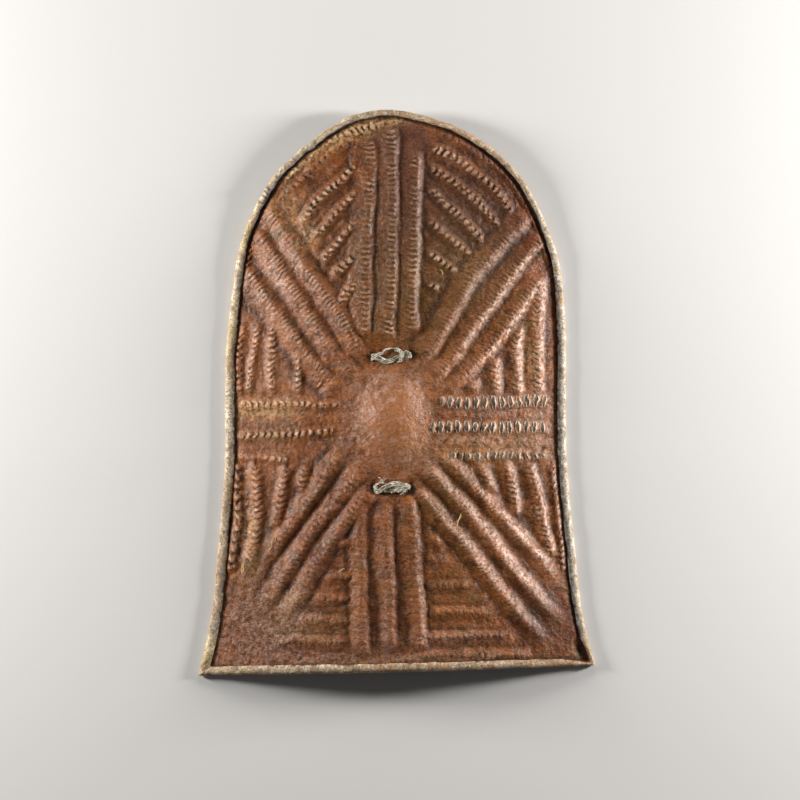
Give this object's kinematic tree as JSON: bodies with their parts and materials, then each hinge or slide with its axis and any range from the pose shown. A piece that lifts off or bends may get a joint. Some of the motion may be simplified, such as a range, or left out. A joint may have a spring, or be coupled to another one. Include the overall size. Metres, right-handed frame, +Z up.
{
  "type": "hide shield",
  "caption": "Tall arched hide shield with a spreading foot, radiating embossed ribs round a low boss, a rolled rim and a strap grip tied on behind.",
  "frame": {"origin": "on the floor, in the middle of the shield's length and width, as it lies face up on its side rims", "axes": "+Z up out of the embossed face, +Y from the foot towards the arched head, +X to the right as seen from the front"},
  "size_m": [0.664, 0.9428, 0.0807],
  "materials": {
    "embossed_hide": "red-brown short-haired rawhide, rubbed paler on the ribs and the boss, cream and grey on the rolled rim",
    "strap_hide": "dark brown hide strap, worn smooth by the hand",
    "rawhide_thong": "dry grey-beige twisted rawhide with pale fibres"
  },
  "bodies": {
    "root": {"hide": "embossed_hide", "grip": "strap_hide", "upper_tie": "rawhide_thong", "lower_tie": "rawhide_thong"}
  },
  "joints": []
}
